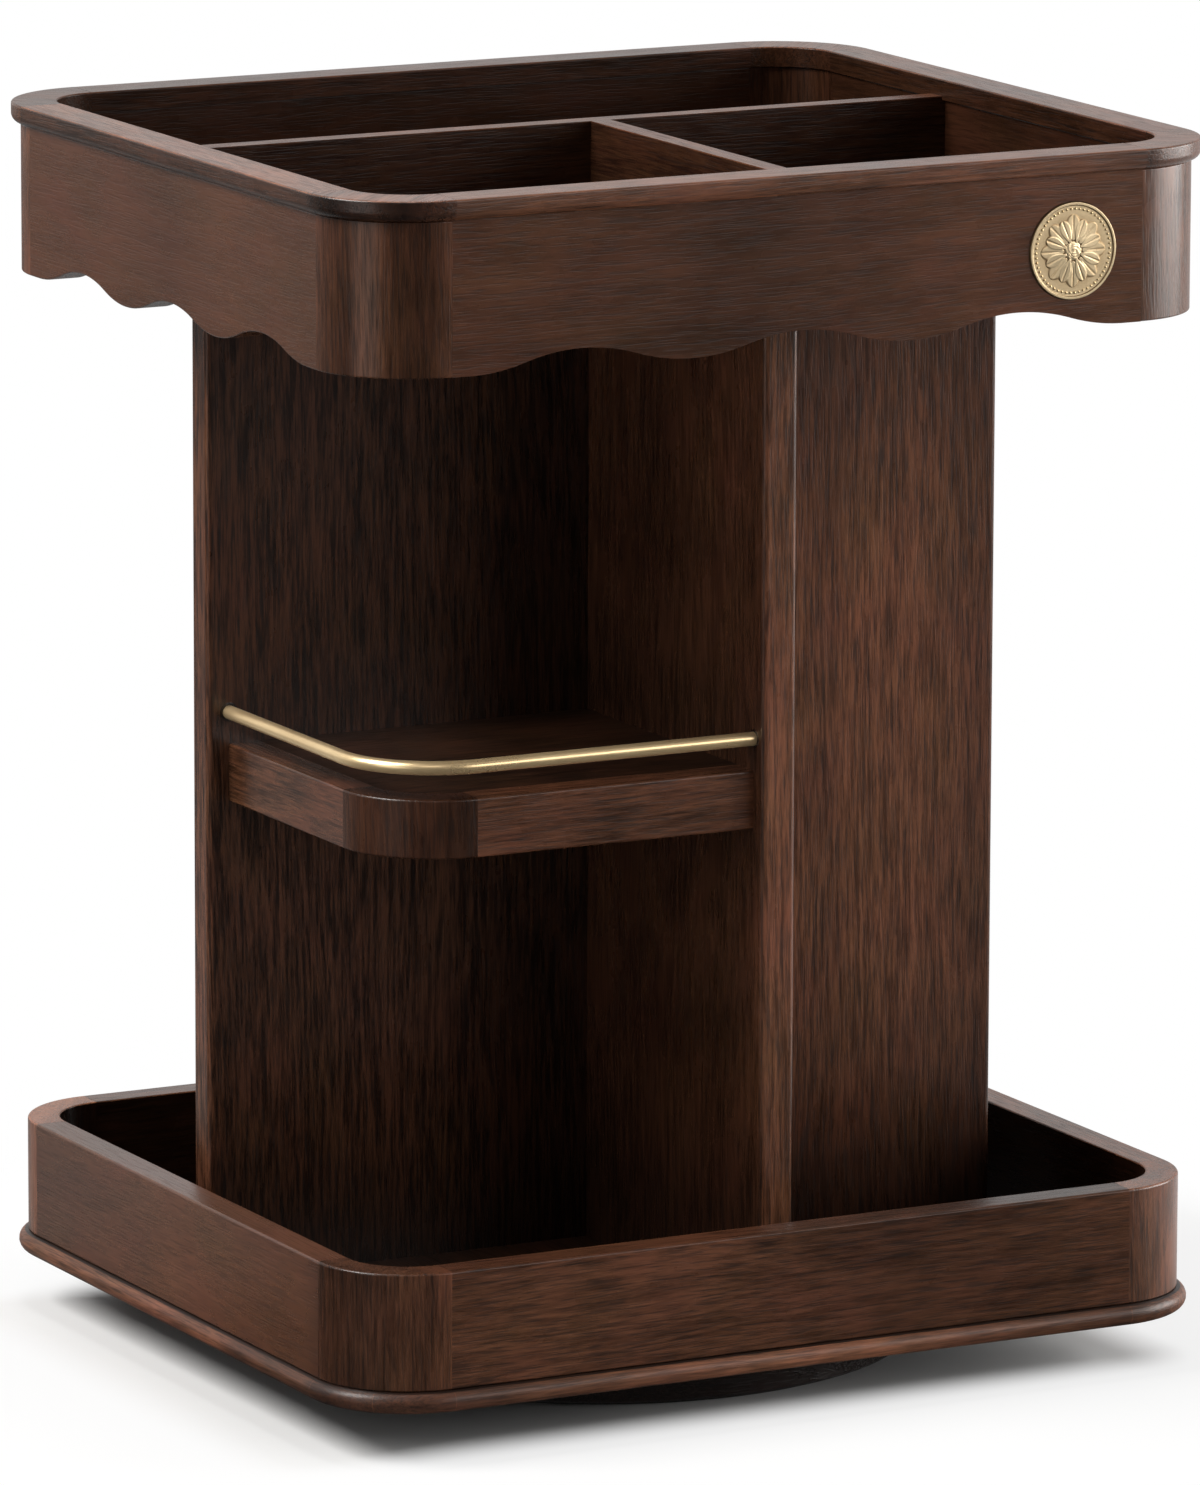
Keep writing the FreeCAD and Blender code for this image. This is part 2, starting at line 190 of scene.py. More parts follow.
warm = (1.0, 0.985, 0.965)
mild = (1.0, 0.99, 0.98)
soft_box("high_left_soft_box", (-1.15, 0.15, 1.25), 0.16, 0.8, 0.8, 31.0, warm)
soft_box("left_strip_box", (-1.19, -0.387, 0.35), 0.2, 0.62, 0.7, 1.4, warm)
soft_box("right_soft_box", (1.40, -0.50, 0.48), 0.3, 1.2, 0.8, 23.0, warm)
soft_box("front_soft_box", (0.78, -1.45, 0.70), 0.2, 1.0, 0.7, 5.0, mild)
soft_box("camera_soft_box", (-0.75, -1.35, 1.35), 0.16, 0.7, 0.7, 1.6, mild)
soft_box("top_soft_box", (0.0, 0.1, 1.7), 0.1, 0.6, 0.6, 8.0, (1.0, 1.0, 1.0))

world = bpy.data.worlds.new("studio")
bpy.context.scene.world = world
world.use_nodes = True
sky = Tree(world.node_tree)
ray = sky.put("ShaderNodeLightPath").outputs
looking = sky.put("ShaderNodeTexCoord").outputs["Generated"]
lit_side = sky.span(sky.vector("DOT_PRODUCT", looking, (0.45, 0.87, 0.0)), -0.5, 0.6, 0.08, 0.65)
mirrored = sky.calc("MULTIPLY", ray["Is Glossy Ray"], lit_side)
beyond_glass = sky.calc("MAXIMUM", ray["Is Transmission Ray"], mirrored)
shown = sky.calc("MAXIMUM", ray["Is Camera Ray"], beyond_glass)
fill = sky.put("ShaderNodeBackground", {"Color": (0.97, 0.98, 1.0, 1), "Strength": 0.035})
white = sky.put("ShaderNodeBackground", {"Color": (1, 1, 1, 1), "Strength": 1.0})
backdrop = sky.put("ShaderNodeMixShader", {0: shown, 1: fill, 2: white})
sky.put("ShaderNodeOutputWorld", {"Surface": backdrop})


# How far outside a rectangle about the axis a point lies, seen from above.
def past_rectangle(tree, spot, half_x, half_y, shift=0.0):
    place = tree.parts(spot)
    off_axis = (tree.calc("ADD", place[0], shift), place[1])
    past = []
    for value, half in zip(off_axis, (half_x, half_y)):
        past.append(tree.calc("MAXIMUM", tree.calc("SUBTRACT", tree.calc("ABSOLUTE", value), half), 0.0))
    return tree.vector("LENGTH", tree.point(*past))


table_half = 2.6
shadow_half_x = 115 * mm
shadow_half_y = 84 * mm
shadow_shift = 10 * mm
shadow_blur = 24 * mm
table_corners = [(x * table_half, y * table_half, 0.0) for x, y in ((-1, -1), (1, -1), (1, 1), (-1, 1))]
table_mesh = bpy.data.meshes.new("table")
table_mesh.from_pydata(table_corners, [], [(0, 1, 2, 3)])
table = stand("table", table_mesh)
table_paint, tree = new_material("table_paint")
ray = tree.put("ShaderNodeLightPath").outputs
spot = tree.spot()
distance = tree.vector("LENGTH", spot)
far_off = tree.span(distance, 120 * mm, 240 * mm, easing="SMOOTHSTEP")
outskirts = tree.span(distance, 0.4, 1.1, 0.62, 0.20)
seen = tree.calc("MAXIMUM", ray["Is Camera Ray"], ray["Is Transmission Ray"])
pale = tree.span(seen, 0.0, 1.0, outskirts, 0.84)
paint = tree.put("ShaderNodeBsdfPrincipled", {"Base Color": pale, "Roughness": 0.8,
                                              "Specular IOR Level": 0.2})
glow = tree.put("ShaderNodeEmission", {"Color": (1, 1, 1, 1), "Strength": 1.0})
# Seen by the camera the table is blended into a white glow far from the foot, and also just outside a
# rectangle round it: painted light over the real shadow there, which sets how far the shadow reaches.
past = past_rectangle(tree, spot, shadow_half_x, shadow_half_y, shadow_shift)
from_under = tree.span(past, 0.0, shadow_blur, 0.0, 0.78, "SMOOTHSTEP")
blend = tree.calc("MULTIPLY", ray["Is Camera Ray"], tree.calc("MAXIMUM", far_off, from_under))
direct = tree.put("ShaderNodeMixShader", {0: blend, 1: paint, 2: glow})

# What the lacquer mirrors of the table, a painted glow that only reflections see: bright towards the back and
# the far right.
nearness = tree.calc("DIVIDE", 1.0, tree.calc("ADD", distance, 0.15))
softened = tree.vector("SCALE", spot, Scale=nearness)
to_back = tree.vector("DOT_PRODUCT", softened, (0.42, 0.91, 0.0))
back_share = tree.span(to_back, -0.15, 0.4, 0.04, 0.34, "SMOOTHSTEP")
right_share = tree.span(tree.parts(softened)[0], 0.35, 0.65, 0.0, 0.5, "SMOOTHSTEP")
dimmer = tree.span(distance, 0.4, 1.3, 1.0, 0.45)
shine = tree.calc("MULTIPLY_ADD", back_share, dimmer, right_share)
mirrored = tree.put("ShaderNodeEmission", {"Color": (1, 1, 1, 1), "Strength": shine})
surface = tree.put("ShaderNodeMixShader", {0: ray["Is Glossy Ray"], 1: direct, 2: mirrored})
tree.put("ShaderNodeOutputMaterial", {"Surface": surface})
table_mesh.materials.append(table_paint)


# Base disc
# A turned wooden disc stained black, on a thin rubber pad that keeps it from sliding. It is the
# only part that stands still.
socket_kinds = {float: "Float", int: "Int", Vector: "Vector", tuple: "Color", type(None): "Material"}


def new_group(name, kind, inputs, outputs):
    data = bpy.data.node_groups.new(name, kind)
    for label, value in inputs.items():
        socket_type = "NodeSocket" + socket_kinds[type(value)]
        socket = data.interface.new_socket(label, in_out="INPUT", socket_type=socket_type)
        if value is not None:
            socket.default_value = value
    for label, output_kind in outputs.items():
        data.interface.new_socket(label, in_out="OUTPUT", socket_type="NodeSocket" + output_kind)
    tree = Tree(data)
    return tree, tree.put("NodeGroupInput").outputs, tree.put("NodeGroupOutput").inputs


def stretched_noise(tree, place, stretch, scale, detail, roughness):
    squeezed = tree.vector("MULTIPLY", place, (stretch, 1.0, 1.0))
    return tree.noise(squeezed, scale, detail, roughness).outputs


def swing(tree, value, amount):
    return tree.calc("MULTIPLY", tree.calc("SUBTRACT", value, 0.5), amount)


grain, given, result = new_group("grain", "ShaderNodeTree", {
    "Along": Vector(), "Pale": (0.5, 0.3, 0.2, 1), "Dark": (0.2, 0.1, 0.06, 1), "Figure": 0.2,
    "Streaks": 0.5, "Pores": 0.4, "Cloud": 0.4}, {"Colour": "Color", "Roughness": "Float", "Height": "Float"})
sway = stretched_noise(grain, given["Along"], 0.22, 20.0, 2.0, 0.5)
centred = grain.vector("SUBTRACT", sway["Color"], (0.5, 0.5, 0.5))
bent = grain.vector("ADD", given["Along"], grain.vector("SCALE", centred, Scale=9 * mm))
rings = grain.put("ShaderNodeTexWave", {"Vector": bent, "Scale": 31.0, "Distortion": 5.5, "Detail": 3.0,
                                        "Detail Scale": 0.35},
                  wave_type="RINGS", rings_direction="X", wave_profile="SIN")
fibre = stretched_noise(grain, bent, 0.06, 950.0, 4.0, 0.75)["Fac"]
cloud = stretched_noise(grain, bent, 0.60, 48.0, 4.0, 0.62)
pore = stretched_noise(grain, bent, 0.045, 2300.0, 1.0, 0.5)["Fac"]
open_pore = grain.span(pore, 0.50, 0.66)
tone = grain.calc("ADD", 0.5, swing(grain, rings.outputs["Fac"], given["Figure"]))
for pattern, share, strength in ((fibre, "Streaks", 8.0), (cloud["Fac"], "Cloud", 3.0)):
    amount = grain.calc("MULTIPLY", given[share], strength)
    tone = grain.calc("MULTIPLY_ADD", grain.calc("SUBTRACT", pattern, 0.5), amount, tone)
body = grain.mix("RGBA", tone, given["Dark"], given["Pale"])
blotch = grain.vector("MULTIPLY_ADD", cloud["Color"], (0.34, 0.30, 0.26), (0.83, 0.85, 0.87))
tinted = grain.vector("MULTIPLY", body, blotch)
darkened = grain.calc("SUBTRACT", 1.0, grain.calc("MULTIPLY", open_pore, given["Pores"]))
grain.feed(result["Colour"], grain.vector("SCALE", tinted, Scale=darkened))
rough = grain.calc("ADD", 0.27, swing(grain, cloud["Fac"], 0.12))
grain.feed(result["Roughness"], grain.calc("MULTIPLY_ADD", open_pore, 0.10, rough))
grain.feed(result["Height"], grain.calc("MULTIPLY_ADD", open_pore, -0.8, swing(grain, fibre, 0.5)))


# How far round the object a point lies, from 0 at the back of the left side through the front left
# corner, the front, the right and the back to 8, a corner or a side to each unit. Joint marks the
# hair lines at the ends of the corner pieces and at their mitres.
core_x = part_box("tray_front_board")[1].x
core_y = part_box("tray_left_board")[1].y
joint_width = 0.13 * mm
rounds, given, result = new_group("way_round", "ShaderNodeTree", {"Spot": Vector()},
                                  {"Way": "Float", "Joint": "Float"})
at = rounds.parts(given["Spot"])
core = [rounds.calc("MINIMUM", rounds.calc("MAXIMUM", at[0], -core_x), core_x),
        rounds.calc("MINIMUM", rounds.calc("MAXIMUM", at[1], -core_y), core_y)]
back_x, back_y = [rounds.calc("MULTIPLY", rounds.calc("SUBTRACT", at[k], core[k]), -1.0) for k in (0, 1)]
bearing = rounds.calc("ADD", rounds.calc("ARCTAN2", back_y, back_x), 0.001)
quarters = rounds.calc("DIVIDE", rounds.calc("FLOORED_MODULO", bearing, 2 * math.pi), math.pi / 2)
down_left = rounds.calc("DIVIDE", rounds.calc("SUBTRACT", core_y, core[1]), 2 * core_y)
along_front = rounds.calc("DIVIDE", rounds.calc("ADD", core_x, core[0]), 2 * core_x)
near_half = rounds.calc("ADD", down_left, along_front)
far_half = rounds.calc("SUBTRACT", 4.0, near_half)
is_far = rounds.calc("GREATER_THAN", quarters, 1.5)
way = rounds.calc("ADD", quarters, rounds.choose(is_far, far_half, near_half))
rounds.feed(result["Way"], way)
to_end = rounds.calc("MULTIPLY", rounds.calc("PINGPONG", way, 0.5), 0.10)
off_mitre = rounds.calc("SUBTRACT", 0.5, rounds.calc("PINGPONG", quarters, 0.5))
to_joint = rounds.calc("MINIMUM", to_end, rounds.calc("MULTIPLY", off_mitre, 0.043))
rounds.feed(result["Joint"], rounds.calc("LESS_THAN", to_joint, joint_width))


def laid_along(tree, spot, axis, slant, pith):
    lean, roll = slant
    turns = {"X": (0, lean, roll), "Y": (lean, 0, roll - math.pi / 2), "Z": (roll, lean + math.pi / 2, 0)}
    return tree.put("ShaderNodeMapping", {"Vector": spot, "Rotation": turns[axis], "Location": pith})


# A level that changes in steps along a way. The ramp's white stands for the brightest level.
brightest = 4.0


def steps(tree, value, stops, whole=1.0):
    ramp = tree.put("ShaderNodeValToRGB", {"Fac": tree.calc("DIVIDE", value, whole)})
    for i, (place, level) in enumerate(stops):
        stop = ramp.color_ramp.elements[i] if i < 2 else ramp.color_ramp.elements.new(place / whole)
        stop.position = place / whole
        stop.color = (level / brightest, level / brightest, level / brightest, 1)
    return tree.calc("MULTIPLY", ramp, brightest)


# Walnut, its grain along an axis with the pith at a given place. The levels of the colour on the
# way round are painted light and shade with some tone of the wood, and inner is where the inside
# begins and the level of its painted shade. The levels along an axis between two places are painted
# light and shade too, and the faces are levels of flat faces across an axis.
inner_gloss = 0.12


def timber(name, axis="X", slant=(0.01, 0.015), pith=(0, 0.06, 0.02), pale=(0.150, 0.058, 0.029),
           dark=(0.046, 0.017, 0.008), figure=0.15, streaks=0.35, pores=0.4, cloud=0.45, light_and_shade=(),
           inner=None, shade_fades=(), faces=(), wander=0.0, gloss=0.5, rough=0.0, moulded=False):
    material, tree = new_material(name)
    spot = tree.spot()
    along = laid_along(tree, spot, axis, slant, pith)
    wood = tree.put("ShaderNodeGroup", {
        "Along": along, "Pale": (*pale, 1), "Dark": (*dark, 1), "Figure": figure, "Streaks": streaks,
        "Pores": pores, "Cloud": cloud}, node_tree=grain.data)
    relief = tree.put("ShaderNodeBump", {"Height": wood.outputs["Height"], "Strength": 0.25,
                                         "Distance": 0.12 * mm})
    level, shine = 1.0, gloss
    # Painted light and shade round the ring, with some tone of the wood in it.
    if light_and_shade:
        ring = tree.put("ShaderNodeGroup", {"Spot": spot}, node_tree=rounds.data).outputs
        level = steps(tree, ring["Way"], light_and_shade, 8.0)
        # The inside is painted darker, as shade, and given less shine.
        if inner:
            edge, inside_shade_level = inner
            past = past_rectangle(tree, spot, core_x, core_y)
            is_outer = tree.span(past, edge - 0.4 * mm, edge + 0.4 * mm)
            level = tree.choose(is_outer, level, inside_shade_level)
            shine = tree.choose(is_outer, gloss, inner_gloss)
        if moulded:
            # Pale hair lines at the joints: a painted highlight on the small ridges there.
            level = tree.calc("MULTIPLY_ADD", ring["Joint"], 0.5, level)
            past_mitre = tree.calc("SUBTRACT", ring["Way"], 0.5)
            is_side = tree.calc("LESS_THAN", tree.calc("PINGPONG", past_mitre, 2.0), 1.0)
            across = laid_along(tree, spot, "Y", slant, pith)
            tree.feed(wood.inputs["Along"], tree.mix("VECTOR", is_side, along, across))
    place = tree.parts(spot)
    flow = stretched_noise(tree, along, 0.25, 42.0, 2.0, 0.5)["Fac"] if wander else 0.5
    # Painted light and shade along an axis.
    for way, start, end, stops in shade_fades:
        wavering = tree.calc("MULTIPLY_ADD", tree.calc("SUBTRACT", flow, 0.5), wander, place[way])
        level = tree.calc("MULTIPLY", level, steps(tree, tree.span(wavering, start, end), stops))
    for way, where, face_level in faces:
        on_face = tree.calc("COMPARE", place[way], where, 0.3 * mm)
        level = tree.choose(on_face, face_level, level)
    colour = wood.outputs["Colour"]
    if light_and_shade or shade_fades or faces:
        colour = tree.vector("SCALE", colour, Scale=level)
    satin = wood.outputs["Roughness"]
    if rough:
        satin = tree.calc("ADD", satin, rough)
    tree.surface({"Base Color": colour, "Roughness": satin, "Specular IOR Level": shine, "Normal": relief,
                  "Coat Weight": 0.10, "Coat Roughness": 0.2})
    return material


def mottled(name, scale, detail, deep, pale, start=0.0, end=1.0, roughness=0.5):
    material, tree = new_material(name)
    patch = tree.noise(tree.spot(), scale, detail, roughness)
    return material, tree, patch, tree.ramp(patch, deep, pale, start, end)


def dress(node, material):
    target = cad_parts[node]
    for slot in target.material_slots:
        slot.material = material
    if not target.material_slots:
        target.data.materials.append(material)


dress("base_disc", timber("black_stain", "X", pale=(0.024, 0.011, 0.007), dark=(0.010, 0.004, 0.003),
                          pores=0.1))
rubber, tree, speck, shade = mottled("pad_rubber", 900.0, 2.0, (0.010, 0.010, 0.010), (0.035, 0.034, 0.033))
relief = tree.put("ShaderNodeBump", {"Height": speck, "Strength": 0.4, "Distance": 0.15 * mm})
tree.surface({"Base Color": shade, "Roughness": 0.85, "Normal": relief})
dress("base_pad", rubber)


# Ball bearing
# Two pressed steel plates, zinc plated, with a ring of balls between them in a nylon cage. The
# lower plate is screwed to the disc and the upper one to the base board.
def metal(name, colour, deep, roughness, spangle, metallic=1.0):
    material, tree, patch, shade = mottled(name, spangle, 4.0, deep, colour, 0.3, 0.7, 0.6)
    gloss = tree.span(patch, 0.0, 1.0, roughness * 0.75, roughness * 1.25)
    tree.surface({"Base Color": shade, "Metallic": metallic, "Roughness": gloss})
    return material


def new_shape(name, inputs):
    tree, given, result = new_group(name, "GeometryNodeTree", {**inputs, "Finish": None},
                                    {"Geometry": "Geometry"})
    return tree, given, result[0]


def made_by(tree, name, sizes, *modifiers):
    shell = stand(name, bpy.data.meshes.new(name))
    maker = shell.modifiers.new("maker", "NODES")
    maker.node_group = tree.data
    for item in tree.data.interface.items_tree:
        if item.item_type == "SOCKET" and item.in_out == "INPUT" and item.name in sizes:
            maker[item.identifier] = sizes[item.name]
    for kind, settings in modifiers:
        extra = shell.modifiers.new(kind, kind)
        for key, value in settings.items():
            setattr(extra, key, value)
    bpy.context.view_layer.update()
    solid = bpy.data.meshes.new_from_object(shell.evaluated_get(bpy.context.evaluated_depsgraph_get()))
    shell.modifiers.clear()
    shell.data = solid
    solid.name = name
    return shell


# Pan or countersunk screws with a cross recess, on a ring of points: a turned head, a recess cut by
# two crossed blades and a plain shank.
screws, given, result = new_shape("screws", {
    "Ring Radius": 0.05, "Count": 4, "Head Radius": 0.003, "Neck Radius": 0.002, "Head Height": 0.0015,
    "Shank Radius": 0.0015, "Shank Length": 0.005, "Height": 0.0, "Start Turn": 0.0, "Tilt": 0.0})
head = screws.put("GeometryNodeMeshCone", {"Vertices": 32, "Radius Top": given["Head Radius"],
                                           "Radius Bottom": given["Neck Radius"],
                                           "Depth": given["Head Height"]})
blade_length = screws.calc("MULTIPLY", given["Head Radius"], 1.25)
blade_width = screws.calc("MULTIPLY", given["Head Radius"], 0.24)
blade_size = screws.point(blade_length, blade_width, given["Head Height"])
blade = screws.put("GeometryNodeMeshCube", {"Size": blade_size})
pair = screws.put("GeometryNodeMeshBoolean", operation="UNION")
for each in (blade, screws.moved(blade, turn=(0, 0, math.pi / 2))):
    screws.feed(pair.inputs["Mesh 2"], each)
bit = screws.moved(pair, screws.point(z=screws.calc("MULTIPLY", given["Head Height"], 0.80)))
recessed = screws.put("GeometryNodeMeshBoolean", {"Mesh 1": head, "Mesh 2": bit}, operation="DIFFERENCE")
rod = screws.put("GeometryNodeMeshCylinder", {"Vertices": 16, "Radius": given["Shank Radius"],
                                              "Depth": given["Shank Length"]})
shank = screws.moved(rod, screws.point(z=screws.calc("MULTIPLY", given["Shank Length"], -0.5)))
screw = screws.joined(recessed, shank)
share = screws.calc("DIVIDE", screws.put("GeometryNodeInputIndex"), given["Count"])
turn = screws.calc("MULTIPLY_ADD", share, 2 * math.pi, given["Start Turn"])
across = screws.calc("MULTIPLY", screws.calc("COSINE", turn), given["Ring Radius"])
along = screws.calc("MULTIPLY", screws.calc("SINE", turn), given["Ring Radius"])
ring = screws.put("GeometryNodePoints", {"Count": given["Count"],
                                         "Position": screws.point(across, along, given["Height"])})
any_way = screws.put("FunctionNodeRandomValue", {"Max": math.pi, "Seed": 4}, data_type="FLOAT")
drive = next(socket for socket in any_way.outputs if socket.type == "VALUE")
driven = screws.put("GeometryNodeInstanceOnPoints", {"Points": ring, "Instance": screw,
                                                     "Rotation": screws.point(given["Tilt"], 0.0, drive)})
screws.finish(driven, given["Finish"], result)

zinc = metal("zinc_plate", (0.62, 0.63, 0.62), (0.42, 0.43, 0.42), 0.34, 160.0)
dress("lower_bearing_plate", zinc)
dress("upper_bearing_plate", zinc)
lower_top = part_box("lower_bearing_plate")[1].z
upper_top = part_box("upper_bearing_plate")[1].z
plate_screw = {"Ring Radius": 54.5 * mm, "Count": 3, "Head Radius": 2.1 * mm, "Neck Radius": 2.8 * mm,
               "Head Height": 1.5 * mm, "Shank Radius": 1.45 * mm, "Shank Length": 5.5 * mm, "Finish": zinc}
lower = made_by(screws, "lower_plate_screw_set", {**plate_screw, "Height": lower_top})
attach(lower, "base")
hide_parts("lower_plate_screws")
plate_t = 1.2 * mm
upper = made_by(screws, "upper_plate_screw_set", {
    **plate_screw, "Height": upper_top - plate_t, "Start Turn": math.pi / 3, "Tilt": math.pi})
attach(upper, "carousel")
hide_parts("upper_plate_screws")

spine_low, spine_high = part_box("spine_wall")
left_low, left_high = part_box("left_wing")
right_low, right_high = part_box("right_wing")
spine_middle = (spine_low.x + spine_high.x) / 2
spine_inset, wing_inset = 12 * mm, 30 * mm
head_sink = 1.76 * mm
column_places = ((spine_middle, spine_low.y + spine_inset), (spine_middle, spine_high.y - spine_inset),
                 (left_low.x + wing_inset, (left_low.y + left_high.y) / 2),
                 (right_high.x - wing_inset, (right_low.y + right_high.y) / 2))
column_screw = {"Count": 1, "Head Radius": 3.5 * mm, "Neck Radius": 1.75 * mm, "Head Height": 1.75 * mm,
                "Shank Radius": 1.7 * mm, "Shank Length": 27.0 * mm, "Height": upper_top + head_sink,
                "Tilt": math.pi, "Finish": zinc}
for i, (x, y) in enumerate(column_places):
    screw = made_by(screws, "column_screw_%d" % i, {
        **column_screw, "Ring Radius": math.hypot(x, y), "Start Turn": math.atan2(y, x)})
    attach(screw, "carousel")
    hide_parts("column_screws")
dress("bearing_balls", metal("ball_steel", (0.72, 0.72, 0.73), (0.62, 0.62, 0.64), 0.10, 300.0))
nylon, tree, speck, shade = mottled("cage_nylon", 240.0, 3.0, (0.66, 0.65, 0.58), (0.80, 0.79, 0.73))
tree.surface({"Base Color": shade, "Roughness": 0.45, "Subsurface Weight": 0.1, "Subsurface Scale": 1.5 * mm})
dress("ball_cage", nylon)


# Bottom tray
# A thin board with a half-round edge, and on it four boards with coopered corner blocks, their
# grain upright. Everything is glued, and the arrises are eased before lacquering.
moulding, given, result = new_shape("moulding", {
    "Start": Vector(), "End": Vector(), "Centre": Vector(), "Radius": 0.02, "From": 0.0, "Sweep": 0.0,
    "Width": 0.008, "Height": 0.03, "Outer Foot": 0.0005, "Inner Foot": 0.0005, "Outer Top": 0.0005,
    "Inner Top": 0.0005})
line = moulding.put("GeometryNodeCurvePrimitiveLine", {"Start": given["Start"], "End": given["End"]})
arc = moulding.put("GeometryNodeCurveArc", {"Resolution": 49, "Radius": given["Radius"],
                                            "Start Angle": given["From"], "Sweep Angle": given["Sweep"]})
is_arc = moulding.calc("GREATER_THAN", given["Sweep"], 0.001)
path = moulding.put("GeometryNodeSwitch", {
    "Switch": is_arc, "False": line, "True": moulding.moved(arc, given["Centre"])}, input_type="GEOMETRY")
outline = moulding.put("GeometryNodeCurvePrimitiveQuadrilateral", {"Width": given["Width"],
                                                                   "Height": given["Height"]})
at = moulding.parts(moulding.put("GeometryNodeInputPosition"))
is_outer = moulding.calc("GREATER_THAN", at[0], 0.0)
is_foot = moulding.calc("GREATER_THAN", at[1], 0.0)
foot = moulding.choose(is_outer, given["Outer Foot"], given["Inner Foot"])
top = moulding.choose(is_outer, given["Outer Top"], given["Inner Top"])
eased_outline = moulding.put("GeometryNodeFilletCurve", {
    "Curve": outline, "Count": 8, "Radius": moulding.choose(is_foot, foot, top)}, mode="POLY")
half_in, half_down = [moulding.calc("MULTIPLY", given[label], -0.5) for label in ("Width", "Height")]
section = moulding.moved(eased_outline, moulding.point(half_in, half_down))
solid = moulding.put("GeometryNodeCurveToMesh", {"Curve": path, "Profile Curve": section, "Fill Caps": True})
bend = moulding.put("GeometryNodeInputMeshEdgeAngle")
crisp = moulding.put("GeometryNodeSetShadeSmooth", {
    "Geometry": moulding.smooth(solid), "Selection": moulding.calc("GREATER_THAN", bend, 0.7),
    "Shade Smooth": False}, domain="EDGE")
moulding.finish(crisp, given["Finish"], result)
even = ("WEIGHTED_NORMAL", {"keep_sharp": True})
side_names = ("right", "back", "left", "front")
corner_after = {"left": "front_left", "front": "front_right", "right": "back_right", "back": "back_left"}


# One stave of a ring: a straight one on a side, or the corner block that follows it. A straight one
# stops short for a corner block at each end that isn't square.
def stave(name, side, is_corner, low, high, radius, sizes, wood, square=(False, False)):
    turn = side_names.index(side)
    corners = [Vector((x, y, low.z)) for x, y in ((high.x, low.y), (high.x, high.y), (low.x, high.y),
                                                 (low.x, low.y))]
    here, there = corners[turn], corners[(turn + 1) % 4]
    run = (there - here).normalized()
    inside = Vector((-run.y, run.x, 0))
    piece = made_by(moulding, name, {
        "Start": here if square[0] else here + run * radius,
        "End": there if square[1] else there - run * radius,
        "Centre": there + (inside - run) * radius, "Radius": radius, "From": turn * math.pi / 2,
        "Sweep": math.pi / 2 if is_corner else 0.0, "Height": high.z - low.z, "Finish": wood, **sizes}, even)
    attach(piece, "carousel")
    return piece


def around(prefix, parts):
    boxes = [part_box(prefix + part) for part in parts]
    low = Vector([min(box[0][k] for box in boxes) for k in range(3)])
    high = Vector([max(box[1][k] for box in boxes) for k in range(3)])
    return low, high


wall_t = 8.5 * mm
corner_r = 25 * mm
inner_edge = corner_r - wall_t + 0.5 * mm
# The base board's levels round the ring are painted light and shade with some tone of the wood, and its
# inside and its top face are painted dark as shade.
base_light_and_shade = ((0, 1.55), (0.68, 1.22), (0.70, 0.66), (0.99, 0.7), (1.0, 0.45), (1.2, 0.3), (1.45, 0.59),
              (1.52, 0.59), (1.9, 0.77), (2.0, 0.7), (2.3, 1.5), (2.5, 1.93), (2.85, 1.06), (3.0, 0.67),
              (3.6, 1.67), (4.0, 1.5), (8, 1.45))
dress("base_board", timber(
    "base_walnut", "X", pith=(0.4, 0.11, 0.05), moulded=True, rough=0.13, gloss=0.35, light_and_shade=base_light_and_shade,
    inner=(inner_edge, 0.15), faces=((2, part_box("base_board")[1].z, 0.15),)))
four_boards = [side + "_board" for side in side_names]
tray_low, tray_high = around("tray_", four_boards)
# Painted light and shade round the tray walls with some tone of the wood, and a painted shade inside.
tray_light_and_shade = ((0, 0.65), (0.5, 0.94), (0.95, 0.74), (1.0, 0.55), (1.2, 0.32), (1.45, 0.44), (1.52, 0.51),
              (1.85, 0.8), (2.0, 0.86), (2.5, 0.87), (2.65, 0.5), (2.95, 0.72), (3.1, 1.19), (3.6, 1.39),
              (8, 1.2))
tray_look = {"light_and_shade": tray_light_and_shade, "inner": (inner_edge, 0.22)}
# A thin dark line at the foot of each wall: painted shade in the crease on the base board.
foot_shade_line = (2, tray_low.z, 0.3)
wall_sizes = {"Width": wall_t, "Outer Foot": 0.5 * mm, "Inner Foot": 0.05 * mm, "Outer Top": 0.7 * mm,
              "Inner Top": 0.4 * mm}
# The last number of each side is the level of its top face, painted light and shade; the right side's top is
# painted brightest, as a reflection.
tray_sides = (("left", "Y", (0.2, 0.08, 0.05), 0.95), ("front", "X", (0.1, 0.05, 0.09), 0.65),
              ("right", "Y", (0.9, 0.03, 0.07), 2.4), ("back", "X", (0.7, 0.05, 0.03), 1.0))
for side, axis, pith, top_light_level in tray_sides:
    is_left = side == "left"
    marking = {"streaks": 0.36, "pores": 0.45, "cloud": 0.45}
    if is_left:
        marking = {"streaks": 0.14, "pores": 0.2, "cloud": 0.15}
    wood = timber("tray_" + side + "_walnut", axis, pith=pith, gloss=0.28 if side == "front" else 0.5,
                  faces=(foot_shade_line, (2, tray_high.z, top_light_level)), **tray_look, **marking)
    board = stave("tray_" + side, side, False, tray_low, tray_high, corner_r, wall_sizes, wood)
    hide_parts("tray_" + side + "_board")
    place = corner_after[side]
    wood = timber("tray_" + place + "_walnut", "Z", pith=(pith[0] + 0.3, 0.05, pith[1]), streaks=0.4,
                  figure=0.3, gloss=0.3 if is_left else 0.5,
                  faces=(foot_shade_line, (2, tray_high.z, 0.7 if is_left else 2.4)), **tray_look)
    block = stave("tray_" + place, side, True, tray_low, tray_high, corner_r, wall_sizes, wood)
    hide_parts("tray_" + place + "_corner")
